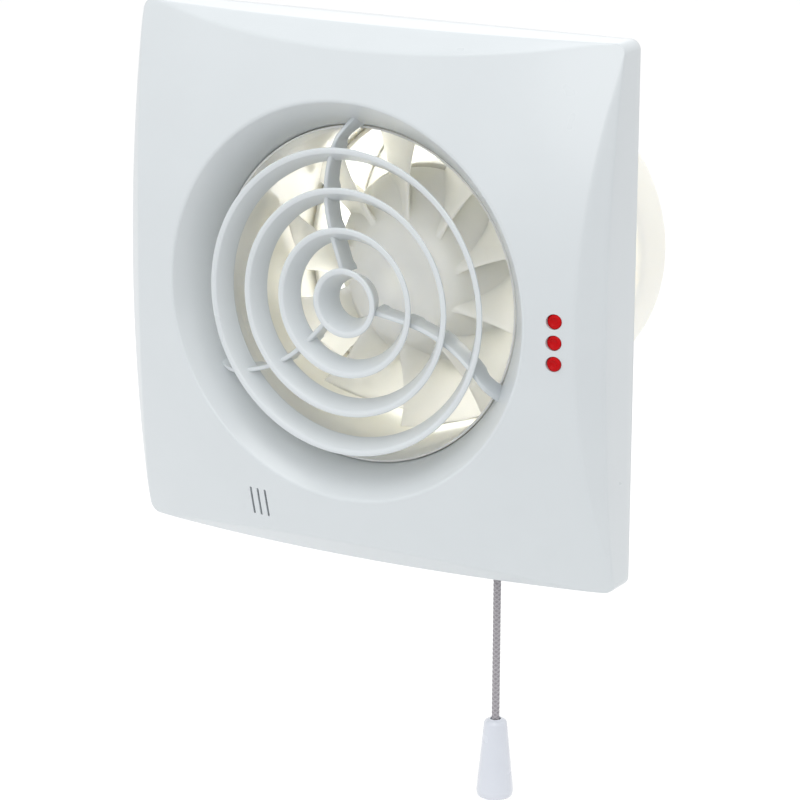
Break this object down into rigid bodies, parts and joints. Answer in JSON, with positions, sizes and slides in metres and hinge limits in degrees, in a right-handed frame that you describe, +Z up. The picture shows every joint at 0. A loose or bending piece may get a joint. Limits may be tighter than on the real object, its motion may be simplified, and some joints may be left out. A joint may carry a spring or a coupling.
{
  "type": "bathroom extractor fan",
  "caption": "Square domed bathroom extractor fan with a round ring grille, three indicator lights, a pull cord switch, a wall duct spigot and a motor driven impeller.",
  "frame": {"origin": "on the duct axis, in the wall plane that the back of the base rests on", "axes": "+X to the right seen from the room, +Y into the wall along the duct, +Z up; the front faces -Y"},
  "size_m": [0.158, 0.1093, 0.2269],
  "materials": {
    "cover_white": "satin-gloss moulded plastic",
    "tray_white": "fine matt moulded plastic",
    "duct_cream": "smooth moulded plastic, slightly warm",
    "impeller_cream": "smooth moulded plastic, slightly warm",
    "lens_red": "tinted light guide",
    "led_clear": "clear tinted resin",
    "motor_steel": "zinc-plated pressing",
    "lamination": "varnished steel laminations",
    "copper": "enamelled copper wire",
    "bearing_steel": "ground steel",
    "screw_steel": "zinc-plated",
    "shaft_steel": "ground steel",
    "spring_steel": "drawn wire",
    "brass": "plain brass",
    "board_green": "solder-masked board",
    "blue_plastic": "moulded plastic",
    "black_plastic": "moulded plastic",
    "dark_plastic": "moulded plastic",
    "grey_plastic": "moulded plastic",
    "rubber": "soft black rubber",
    "cord_grey": "fine braided cord",
    "handle_pearl": "pearly moulded plastic"
  },
  "bodies": {
    "casing": {"base_tray": "tray_white", "duct_tube": "duct_cream", "motor_bracket": "duct_cream", "motor_can": "motor_steel", "motor_cap": "motor_steel", "stator_core": "lamination", "coil_front": "copper", "coil_rear": "copper", "bearing_front": "bearing_steel", "bearing_rear": "bearing_steel", "motor_screw_1": "screw_steel", "motor_screw_2": "screw_steel", "motor_screw_3": "screw_steel", "flap_frame": "duct_cream", "hinge_pin": "shaft_steel", "flap_spring": "spring_steel", "circuit_board": "board_green", "relay": "blue_plastic", "capacitor": "black_plastic", "led_upper": "led_clear", "led_middle": "led_clear", "led_lower": "led_clear", "timer_pot": "blue_plastic", "humidity_pot": "blue_plastic", "humidity_sensor": "black_plastic", "terminal_block": "grey_plastic", "terminal_screw_1": "brass", "terminal_screw_2": "brass", "terminal_screw_3": "brass", "cable_clamp": "grey_plastic", "clamp_screw_1": "screw_steel", "clamp_screw_2": "screw_steel", "cable_grommet": "rubber", "switch_housing": "grey_plastic", "switch_lid": "grey_plastic", "return_spring": "spring_steel", "switch_contact": "brass"},
    "cover": {"front_cover": "cover_white", "light_guide": "lens_red"},
    "fan": {"impeller": "impeller_cream", "motor_shaft": "shaft_steel", "rotor_core": "lamination", "impeller_clip": "screw_steel"},
    "flap_right_body": {"flap_right": "duct_cream"},
    "flap_left_body": {"flap_left": "duct_cream"},
    "puller": {"pull_plunger": "dark_plastic"},
    "rocker": {"contact_rocker": "dark_plastic"},
    "cord": {"pull_cord": "cord_grey", "pull_handle": "handle_pearl"},
    "timer_knob": {"timer_dial": "brass"},
    "humidity_knob": {"humidity_dial": "brass"}
  },
  "joints": [
    {"name": "impeller_spin", "type": "hinge", "parent": "casing", "child": "fan", "pos_m": [0, 0.02, 0], "axis": [0, 1, 0], "continuous": true},
    {"name": "cover_release", "type": "slide", "parent": "casing", "child": "cover", "axis": [0, -1, 0], "range_m": [0, 0.045]},
    {"name": "flap_right_swing", "type": "hinge", "parent": "casing", "child": "flap_right_body", "pos_m": [0, 0.068, 0], "axis": [0, 0, 1], "range_deg": [0, 80], "stiffness_Nm_per_rad": 0.003},
    {"name": "flap_left_swing", "type": "hinge", "parent": "casing", "child": "flap_left_body", "pos_m": [0, 0.068, 0], "axis": [0, 0, -1], "range_deg": [0, 80], "stiffness_Nm_per_rad": 0.003},
    {"name": "pull_slide", "type": "slide", "parent": "casing", "child": "puller", "axis": [0, 0, -1], "range_m": [0, 0.006], "stiffness_N_per_m": 150, "springref_m": -0.01, "deforming": ["return_spring"]},
    {"name": "rocker_tilt", "type": "hinge", "parent": "casing", "child": "rocker", "pos_m": [0.0362, -0.01, -0.0555], "axis": [0, 1, 0], "range_deg": [0, 20]},
    {"name": "cord_swing", "type": "hinge", "parent": "puller", "child": "cord", "pos_m": [0.041, -0.01, -0.0772], "axis": [0, 1, 0], "range_deg": [-25, 25]},
    {"name": "timer_trim", "type": "hinge", "parent": "casing", "child": "timer_knob", "pos_m": [0.032, -0.0136, 0.066], "axis": [0, -1, 0], "range_deg": [-135, 135]},
    {"name": "humidity_trim", "type": "hinge", "parent": "casing", "child": "humidity_knob", "pos_m": [0.0425, -0.0136, 0.066], "axis": [0, -1, 0], "range_deg": [-135, 135]}
  ],
  "couplings": [
    {"joint": "rocker_tilt", "follows": "pull_slide", "rad_per_m": 58}
  ]
}
